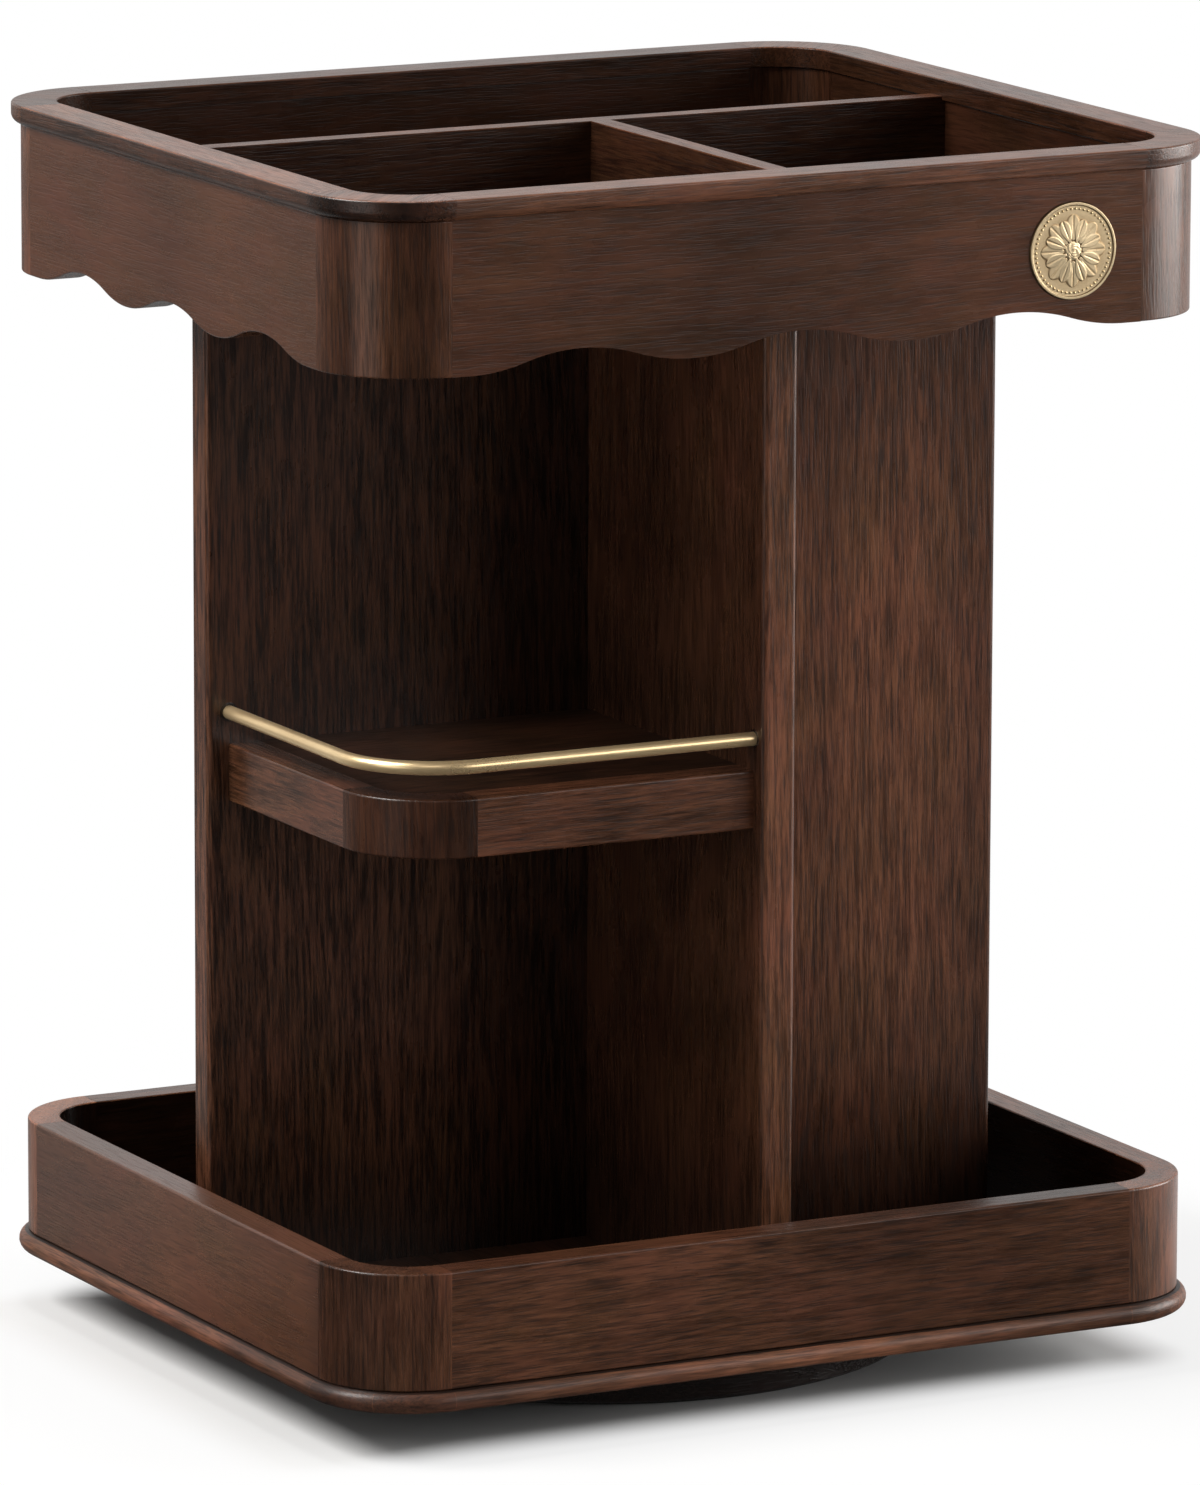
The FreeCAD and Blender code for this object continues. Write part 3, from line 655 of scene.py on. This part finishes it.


# Column
# A spine wall with a wing housed in each face, off centre, so that each wing backs a bay. The
# grain stands upright. Screws come up through the base board and dowels go into the top floor.
# The spine is painted darker low in each bay and towards the back, lighter towards the front: painted light
# and shade. Its two end faces are lighter.
spine_shade_up = ((0, 0.12), (0.1, 0.2), (0.17, 0.4), (0.25, 0.75), (0.35, 0.85), (0.42, 0.65), (0.55, 0.3),
            (0.6, 0.4), (0.7, 0.75), (0.78, 0.95))
spine_shade_back = ((0, 1.3), (0.3, 1.05), (0.6, 0.76), (1, 0.85))
dress("spine_wall", timber(
    "spine_walnut", "Z", pith=(0.1, 0.03, 0.05), streaks=0.5, cloud=0.3, gloss=0.4,
    shade_fades=((2, 15 * mm, 290 * mm, spine_shade_up), (1, -77 * mm, 18 * mm, spine_shade_back)),
    faces=((1, spine_low.y, 1.35), (1, spine_high.y, 1.35))))
# The left wing is painted darker towards the spine and low down: painted shade where the spine and the shelf
# cut off the light.
left_shade_across = ((0, 0.8), (0.03, 0.6), (0.12, 0.7), (0.33, 0.8), (0.57, 0.75), (0.75, 0.42), (1, 0.35))
left_shade_up = ((0, 0.3), (0.2, 1.0), (0.6, 1.1), (0.8, 0.8))
dress("left_wing", timber(
    "left_wing_walnut", "Z", pith=(0.5, 0.06, 0.02), pale=(0.165, 0.064, 0.032), dark=(0.032, 0.012, 0.006),
    streaks=0.66, cloud=0.25, gloss=0.42,
    shade_fades=((0, -102 * mm, 10 * mm, left_shade_across), (2, 20 * mm, 200 * mm, left_shade_up))))
# The right wing is painted darker at its foot, where the tray wall shades it, and at its top under the apron:
# painted shade. Across it the levels are painted light and shade with some tone of the wood.
right_shade_across = ((0, 1.15), (0.24, 0.95), (0.28, 1.2), (0.61, 1.2), (0.8, 1.0), (0.94, 0.78))
right_shade_up = ((0, 0.1), (0.11, 0.27), (0.2, 0.75), (0.28, 1.05), (0.7, 1.05), (0.8, 0.78), (0.9, 0.6))
dress("right_wing", timber(
    "right_wing_walnut", "Z", pith=(0.8, 0.05, 0.04), streaks=0.52, cloud=0.18, gloss=0.25, wander=7 * mm,
    shade_fades=((0, 40 * mm, 102 * mm, right_shade_across), (2, 15 * mm, 290 * mm, right_shade_up))))
beech = timber("raw_beech", "Z", pale=(0.60, 0.42, 0.26), dark=(0.44, 0.28, 0.16))
dress("column_dowels", beech)


# Shelves
# Each bay has a quarter shelf: a board with a lipping round its open edges and a coopered corner,
# and a bent brass rail over it that is let into both walls.
bend_r = 25.3 * mm
lipping_sizes = {"Width": wall_t, "Outer Foot": 0.7 * mm, "Inner Foot": 0.05 * mm, "Outer Top": 0.7 * mm,
                 "Inner Top": 0.05 * mm}
for bay, shift, first, second in (("front", 0.0, "left", "front"), ("rear", 0.6, "right", "back")):
    # The shelf board is dark: painted shade under the top tray.
    dress(bay + "_shelf_board", timber(
        bay + "_shelf_walnut", "X", pith=(shift + 0.1, 0.06, 0.04), pale=(0.038, 0.015, 0.007),
        dark=(0.010, 0.004, 0.002), gloss=0.15, rough=0.15))
    dress(bay + "_shelf_dowels", beech)
    side_wood = timber(bay + "_side_lipping_walnut", "Y", pith=(shift + 0.5, 0.04, 0.06),
                       pale=(0.115, 0.044, 0.022), dark=(0.034, 0.013, 0.006))
    corner_wood = timber(bay + "_corner_walnut", "Z", pith=(shift + 0.2, 0.02, 0.05), streaks=0.35,
                         pale=(0.055, 0.021, 0.010), dark=(0.018, 0.006, 0.003), gloss=0.35)
    front_wood = timber(bay + "_lipping_walnut", "X", pith=(shift + 0.3, 0.07, 0.03), streaks=0.42,
                        pale=(0.135, 0.052, 0.026), dark=(0.036, 0.013, 0.006), gloss=0.35)
    low, high = around(bay + "_shelf_", ("side_lipping", "front_lipping", "corner_block"))
    for part, side, is_corner, square, wood in (
            ("side_lipping", first, False, (True, False), side_wood),
            ("corner_block", first, True, (False, False), corner_wood),
            ("front_lipping", second, False, (False, True), front_wood)):
        piece = stave(bay + "_" + part, side, is_corner, low, high, bend_r, lipping_sizes, wood, square)
        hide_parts(bay + "_shelf_" + part)

rail, given, result = new_shape("bent_rail", {
    "Start": Vector(), "Bend": Vector(), "End": Vector(), "Bend Radius": 0.02, "Rod Radius": 0.002})
stop = rail.put("GeometryNodeIndexSwitch", {"Index": rail.put("GeometryNodeInputIndex")}, data_type="VECTOR")
stop.index_switch_items.new()
for i, label in enumerate(("Start", "Bend", "End")):
    rail.feed(stop.inputs[i + 1], given[label])
stops = rail.put("GeometryNodePoints", {"Count": 3, "Position": stop})
line = rail.put("GeometryNodePointsToCurves", {"Points": stops})
curved = rail.put("GeometryNodeFilletCurve", {"Curve": line, "Count": 40, "Radius": given["Bend Radius"]},
                  mode="POLY")
section = rail.put("GeometryNodeCurvePrimitiveCircle", {"Resolution": 32, "Radius": given["Rod Radius"]})
rod = rail.put("GeometryNodeCurveToMesh", {"Curve": curved, "Profile Curve": section, "Fill Caps": True})
rail.finish(rail.smooth(rod), given["Finish"], result)


def closed_mesh(name, points, faces, smooth=False):
    mesh = bpy.data.meshes.new(name)
    mesh.from_pydata([tuple(point) for point in points], [], faces)
    shape = bmesh.new()
    shape.from_mesh(mesh)
    bmesh.ops.recalc_face_normals(shape, faces=shape.faces)
    for face in shape.faces:
        face.smooth = smooth and len(face.verts) < 10
    shape.to_mesh(mesh)
    shape.free()
    return mesh


# The faces between pairs of rings of points, each ring with the same count of points.
def bands(pairs, count):
    return [(a * count + k, b * count + k, b * count + (k + 1) % count, a * count + (k + 1) % count)
            for a, b in pairs for k in range(count)]


rod_r = 1.8 * mm
brass = metal("rail_brass", (0.98, 0.74, 0.42), (0.90, 0.66, 0.36), 0.30, 60.0, 0.78)
# A thin dark ring round each rail end where it enters a wall: painted shade in the mouth of the bore.
bore_painted_shade = timber("bore_shade_walnut", "Z", pale=(0.012, 0.005, 0.003), dark=(0.005, 0.002, 0.001))
bore_rings = ((rod_r, 0), (rod_r, 0.06 * mm), (rod_r + 0.55 * mm, 0.06 * mm), (rod_r + 0.7 * mm, 0))
facets = 48
bore_faces = bands(((0, 1), (1, 2), (2, 3), (3, 0)), facets)
along_x, along_y, up = Vector((1, 0, 0)), Vector((0, 1, 0)), Vector((0, 0, 1))
for bay, out, wing_face, spine_face in (("front", -1, left_low.y, spine_low.x),
                                        ("rear", 1, right_high.y, spine_high.x)):
    low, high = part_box(bay + "_shelf_rail")
    level = (low.z + high.z) / 2
    outer, inner = (high, low) if out > 0 else (low, high)
    bend = Vector((outer.x - out * rod_r, outer.y - out * rod_r, level))
    bar = made_by(rail, bay + "_gallery_rail", {
        "Start": Vector((bend.x, inner.y, level)), "Bend": bend, "End": Vector((inner.x, bend.y, level)),
        "Bend Radius": bend_r, "Rod Radius": rod_r, "Finish": brass})
    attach(bar, "carousel")
    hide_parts(bay + "_shelf_rail")
    mouths = ((Vector((bend.x, wing_face, level)), along_y, along_x),
              (Vector((spine_face, bend.y, level)), along_x, along_y))
    for j, (centre, along, across) in enumerate(mouths):
        points = [centre + along * out * depth + (across * math.cos(a) + up * math.sin(a)) * radius
                  for radius, depth in bore_rings
                  for a in (k * 2 * math.pi / facets for k in range(facets))]
        mouth = closed_mesh(bay + "_bore_%d" % j, points, bore_faces)
        mouth.materials.append(bore_painted_shade)
        bore = stand(mouth.name, mouth)
        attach(bore, "carousel")


# Top tray
# The floor is tongued into four apron boards with a wave cut along their lower edges. A moulded
# cap covers the joints, and two thin dividers cross inside.
# The floor is dark: painted shade in the compartments.
dress("top_floor", timber("top_floor_walnut", "X", pith=(0.2, 0.13, 0.02), pale=(0.060, 0.023, 0.011),
                          dark=(0.016, 0.006, 0.003), gloss=0.15, rough=0.15))
scallop, given, result = new_shape("scalloped_board", {
    "Half Length": 0.1, "Thickness": 0.0085, "Outside": 0.12, "Bottom": 0.27, "Top": 0.31,
    "Wave Height": 0.005, "Waves": 3, "Margin": 0.005, "Turn": 0.0, "Recess Place": Vector(),
    "Recess Radius": 0.0, "Recess Depth": 0.002})
strip = scallop.put("GeometryNodeMeshGrid", {
    "Size X": scallop.calc("MULTIPLY", given["Half Length"], 2.0), "Size Y": 1.0, "Vertices X": 241,
    "Vertices Y": 2})
at = scallop.parts(scallop.put("GeometryNodeInputPosition"))
reach = scallop.calc("SUBTRACT", given["Half Length"], given["Margin"])
half_wave = scallop.calc("DIVIDE", reach, given["Waves"])
phase = scallop.calc("DIVIDE", scallop.calc("ADD", at[0], reach), half_wave)
last_phase = scallop.calc("MULTIPLY", given["Waves"], 2.0)
phase = scallop.calc("MINIMUM", scallop.calc("MAXIMUM", phase, 0.0), last_phase)
swell = scallop.calc("PINGPONG", phase, 1.0)
left = scallop.calc("SUBTRACT", 1.0, swell)
rising, dip = [scallop.calc("MULTIPLY", scallop.calc("MULTIPLY", part, part), 2.0) for part in (swell, left)]
past_half = scallop.calc("GREATER_THAN", swell, 0.5)
wave = scallop.choose(past_half, scallop.calc("SUBTRACT", 1.0, dip), rising)
edge = scallop.calc("MULTIPLY_ADD", wave, given["Wave Height"], given["Bottom"])
level = scallop.choose(scallop.calc("GREATER_THAN", at[1], 0.0), given["Top"], edge)
spot = scallop.point(at[0], scallop.calc("MULTIPLY", given["Outside"], -1.0), level)
face = scallop.put("GeometryNodeSetPosition", {"Geometry": strip, "Position": spot})
thick = scallop.put("GeometryNodeExtrudeMesh", {
    "Mesh": face, "Offset": scallop.point(y=given["Thickness"]), "Offset Scale": 1.0, "Individual": False},
    mode="FACES")
shell = scallop.joined(scallop.put("GeometryNodeFlipFaces", {"Mesh": thick}), face)
closed = scallop.put("GeometryNodeMergeByDistance", {"Geometry": shell, "Distance": 0.01 * mm})
cutter = scallop.put("GeometryNodeMeshCylinder", {
    "Vertices": 96, "Radius": given["Recess Radius"],
    "Depth": scallop.calc("MULTIPLY", given["Recess Depth"], 2.0)})
cutter = scallop.moved(cutter, given["Recess Place"], (math.pi / 2, 0, 0))
sunk = scallop.put("GeometryNodeMeshBoolean", {"Mesh 1": closed, "Mesh 2": cutter}, operation="DIFFERENCE")
has_recess = scallop.put("FunctionNodeCompare", {0: given["Recess Radius"], 1: 0.0001}, data_type="FLOAT",
                         operation="GREATER_THAN")
shape = scallop.put("GeometryNodeSwitch", {"Switch": has_recess, "False": closed, "True": sunk},
                    input_type="GEOMETRY")
bend = scallop.put("GeometryNodeInputMeshEdgeAngle")
ends = scallop.put("GeometryNodeInputMeshEdgeVertices").outputs
off_middle = [scallop.calc("ABSOLUTE", scallop.parts(ends[label])[0])
              for label in ("Position 1", "Position 2")]
inside = scallop.calc("LESS_THAN", scallop.calc("ADD", *off_middle),
                      scallop.calc("MULTIPLY", given["Half Length"], 1.9999))
sharp = scallop.calc("GREATER_THAN", bend, 0.8)
marked = scallop.put("GeometryNodeStoreNamedAttribute", {
    "Geometry": shape, "Name": "bevel_weight_edge", "Value": scallop.calc("MULTIPLY", inside, sharp)},
    data_type="FLOAT", domain="EDGE")
scallop.finish(scallop.moved(marked, turn=scallop.point(z=given["Turn"])), given["Finish"], result)

ring_low, ring_high = around("apron_", four_boards)
coin_low, coin_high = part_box("medallion")
coin_centre = (coin_low + coin_high) / 2
recess = {"Recess Place": (coin_centre.x, ring_low.y, coin_centre.z), "Recess Radius": 12.6 * mm,
          "Recess Depth": 2.1 * mm}
eased = ("BEVEL", {"width": 0.45 * mm, "segments": 3, "limit_method": "WEIGHT"})
# Painted light and shade round the apron with some tone of the wood, and a painted shade on its inside.
apron_light_and_shade = ((0, 0.73), (0.3, 0.69), (0.5, 0.56), (0.7, 0.77), (1.0, 0.63), (1.2, 0.46), (1.33, 0.34),
               (1.36, 0.67), (1.45, 0.81), (1.52, 0.82), (1.62, 0.51), (1.8, 0.49), (2.0, 0.85),
               (2.2, 0.75), (2.45, 0.53), (2.8, 0.97), (3.1, 1.06), (3.6, 1.32), (8, 1.0))
apron_look = {"light_and_shade": apron_light_and_shade, "inner": (inner_edge, 0.3)}
for side, turn, axis, pith in (
        ("front", 0.0, "X", (0.15, 0.07, 0.25)), ("back", math.pi, "X", (0.55, 0.05, 0.22)),
        ("left", -math.pi / 2, "Y", (0.35, 0.06, 0.24)), ("right", math.pi / 2, "Y", (0.75, 0.04, 0.21))):
    marking = {"figure": 0.15, "streaks": 0.16, "pores": 0.3, "cloud": 0.35}
    if side == "left":
        marking = {"figure": 0.08, "streaks": 0.07, "pores": 0.1, "cloud": 0.12}
    wood = timber("apron_" + side + "_walnut", axis, pith=pith, gloss=0.28 if side == "front" else 0.42,
                  **apron_look, **marking)
    sizes = {"Half Length": core_x if axis == "X" else core_y, "Thickness": wall_t,
             "Outside": ring_high.y if axis == "X" else ring_high.x, "Bottom": ring_low.z,
             "Top": ring_high.z, "Wave Height": 4.8 * mm, "Waves": 3, "Margin": 5 * mm, "Turn": turn,
             "Finish": wood}
    if side == "front":
        sizes.update(recess)
    board = made_by(scallop, "apron_" + side, sizes, eased)
    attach(board, "carousel")
    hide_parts("apron_" + side + "_board")

corner_sizes = {"Width": wall_t, "Outer Foot": 0.45 * mm, "Inner Foot": 0.45 * mm, "Outer Top": 0.5 * mm,
                "Inner Top": 0.05 * mm}
for i, side in enumerate(("left", "front", "right", "back")):
    place = corner_after[side]
    wood = timber("apron_" + place + "_walnut", "Z", pith=(0.3 * i + 0.1, 0.04, 0.02 * i), streaks=0.38,
                  gloss=0.35 if side == "left" else 0.5, **apron_look)
    block = stave("apron_" + place, side, True, ring_low, ring_high, corner_r, corner_sizes, wood)
    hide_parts("apron_" + place + "_corner")

cap_low, cap_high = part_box("cap_rim")
cap_t, cap_r = 12 * mm, 27.5 * mm
cap_sizes = {"Width": cap_t, "Outer Foot": 2.4 * mm, "Inner Foot": 0.05 * mm, "Outer Top": 0.6 * mm,
             "Inner Top": 0.5 * mm}
# Painted light and shade round the cap with some tone of the wood, and a painted shade inside it.
cap_light_and_shade = ((0, 0.38), (0.9, 0.41), (1.0, 0.24), (1.25, 0.11), (1.45, 0.2), (1.52, 0.28), (1.7, 0.15),
             (1.95, 0.71), (2.1, 1.13), (2.5, 1.26), (2.8, 1.36), (3.0, 0.63), (3.2, 0.97), (4, 1.0),
             (8, 0.9))
# The last number of each side is the level of its top face: painted light, as the reflection on the tops.
cap_sides = (("left", "Y", 1.5), ("front", "X", 1.3), ("right", "Y", 1.05), ("back", "X", 0.65))
for i, (side, axis, top_light_level) in enumerate(cap_sides):
    for is_corner, place, roll in ((False, side, 0.01), (True, corner_after[side], 0.8)):
        name = "cap_" + place
        wood = timber(name + "_walnut", axis, slant=(0.01, roll), pith=(0.3 * i, 0.08, 0.26),
                      light_and_shade=cap_light_and_shade, inner=(cap_r - cap_t + 0.5 * mm, 0.3),
                      faces=((2, cap_high.z, top_light_level),))
        piece = stave(name, side, is_corner, cap_low, cap_high, cap_r, cap_sizes, wood)
        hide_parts("cap_rim")
# The dividers are dark, painted shade inside the compartments, and their top edges are painted light.
divider_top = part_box("long_divider")[1].z
for name, axis, pith in (("long", "X", (0.9, 0.05, 0.22)), ("short", "Y", (0.5, 0.05, 0.22))):
    dress(name + "_divider", timber(
        name + "_divider_walnut", axis, pith=pith, pale=(0.048, 0.019, 0.009), dark=(0.015, 0.005, 0.003),
        faces=((2, divider_top, 3.4),), gloss=0.2))


# Medallion
# A struck brass disc, gilt, let into the apron: an eight-petalled flower round a seeded boss, with a
# ring of beads inside a plain raised rim. The low places have darkened and the rim is rubbed bright.
coin_r = (coin_high.x - coin_low.x) / 2
spokes = 288
far = np.concatenate((np.linspace(0.02, 0.86, 120), np.linspace(0.87, 1.0, 24))) * coin_r
angle = np.arange(spokes) * 2 * math.pi / spokes
radii, turns = np.meshgrid(far, angle, indexing="ij")


def bump(value, start, end):
    part = np.clip((value - start) / (end - start), 0.0, 1.0)
    return part * part * (3 - 2 * part)


def petals(count, shift, inner, outer, lift):
    off_vein = np.mod(turns / (2 * math.pi) * count + shift, 1.0) - 0.5
    reach = np.clip((radii - inner) / (outer - inner), 0.0, 1.0)
    half = 0.46 * np.sin(math.pi * np.clip(reach * 0.93 + 0.07, 0, 1)) ** 0.6
    side = np.clip(1 - np.abs(off_vein) / np.maximum(half, 1e-4), 0, 1)
    vein = 0.35 * np.exp(-(off_vein / 0.035) ** 2) * bump(reach, 0.1, 0.4)
    blade = np.minimum(side * 3.0, 1.0) * (0.75 + 0.25 * np.cos(reach * math.pi)) - vein
    return lift * np.clip(blade, 0, 1) * (reach > 0) * (reach < 1)


# Heights in millimetres from the top of the rim.
field = -0.35
boss_r, seeds_r, seed = 2.5 * mm, 2.1 * mm, 0.62 * mm
rim_start, rim_flat, rim_edge = coin_r - 0.95 * mm, coin_r - 0.70 * mm, coin_r - 0.22 * mm
flower = np.maximum(petals(8, 0.5, 2.6 * mm, 9.3 * mm, 0.20), petals(8, 0.0, 2.2 * mm, 8.4 * mm, 0.30))
boss = 0.34 * np.sqrt(np.clip(1 - (radii / boss_r) ** 2, 0, 1))
seeds = 0.05 * np.cos(radii / seed * math.pi) * np.cos(turns * np.round(radii / (0.28 * mm)))
height = field + np.maximum(flower, boss + seeds * (radii < seeds_r))
height = height * (1 - bump(radii, rim_start, rim_flat))
height = height - 0.22 * bump(radii, rim_edge, coin_r) ** 2
low_place = np.clip(1 - (height - field) / 0.16, 0, 1) * (radii < rim_flat)
slope = np.abs(np.gradient(height, axis=0)) + np.abs(np.gradient(height, axis=1))
ring_of_dirt = np.exp(-((radii - 5.5 * mm) / (5.0 * mm)) ** 2)
worn = np.clip(0.75 * low_place * ring_of_dirt + slope * 9, 0, 1)


def on_coin(radius, turn, y):
    across, up = radius * np.cos(turn), radius * np.sin(turn)
    return np.stack((coin_centre.x + across, y, coin_centre.z + up), axis=-1)


front_y = coin_low.y - height * mm
middle = (coin_centre.x, front_y[0].mean(), coin_centre.z)
points = np.concatenate((on_coin(radii, turns, front_y).reshape(-1, 3),
                         on_coin(coin_r, angle, np.full(spokes, coin_high.y)), [middle]))
rows = len(far)
faces = bands([(i, i + 1) for i in range(rows)], spokes)
faces += [(len(points) - 1, j, (j + 1) % spokes) for j in range(spokes)]
faces.append(tuple(rows * spokes + j for j in range(spokes)))
coin_mesh = closed_mesh("medallion_flower", points, faces, smooth=True)
tarnish = coin_mesh.attributes.new("tarnish", "FLOAT", "POINT")
tarnish.data.foreach_set("value", np.concatenate((worn.reshape(-1), np.full(spokes + 1, 0.3))))
gilt, tree = new_material("medallion_gilt")
mottle = tree.noise(tree.spot(), 500.0, 4.0, 0.65)
dulled = tree.put("ShaderNodeAttribute", attribute_name="tarnish").outputs["Fac"]
dulled = tree.calc("MULTIPLY_ADD", tree.calc("SUBTRACT", mottle, 0.5), 0.35, dulled)
tree.surface({"Base Color": tree.ramp(dulled, (0.97, 0.76, 0.47), (0.20, 0.11, 0.04)), "Metallic": 0.92,
              "Roughness": tree.span(dulled, 0.0, 1.0, 0.30, 0.55)})
coin_mesh.materials.append(gilt)
medallion = stand("medallion_flower", coin_mesh)
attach(medallion, "carousel")
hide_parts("medallion")

beads, given, result = new_shape("bead_ring", {
    "Centre": Vector(), "Radius": 0.01, "Count": 48, "Bead Radius": 0.0003})
ring = beads.put("GeometryNodeMeshCircle", {"Vertices": given["Count"], "Radius": given["Radius"]})
bead = beads.put("GeometryNodeMeshIcoSphere", {"Radius": given["Bead Radius"], "Subdivisions": 3})
strung = beads.put("GeometryNodeInstanceOnPoints", {"Points": ring, "Instance": beads.smooth(bead)})
stood = beads.moved(strung, given["Centre"], (math.pi / 2, 0, 0))
beads.finish(stood, given["Finish"], result)
bead_gilt = metal("bead_gilt", (0.92, 0.72, 0.44), (0.80, 0.60, 0.33), 0.3, 400.0)
border = made_by(beads, "medallion_beads", {
    "Centre": Vector((coin_centre.x, coin_low.y + 0.36 * mm, coin_centre.z)), "Radius": 10.7 * mm,
    "Count": 54, "Bead Radius": 0.34 * mm, "Finish": bead_gilt})
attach(border, "carousel")

low, high = cad_box
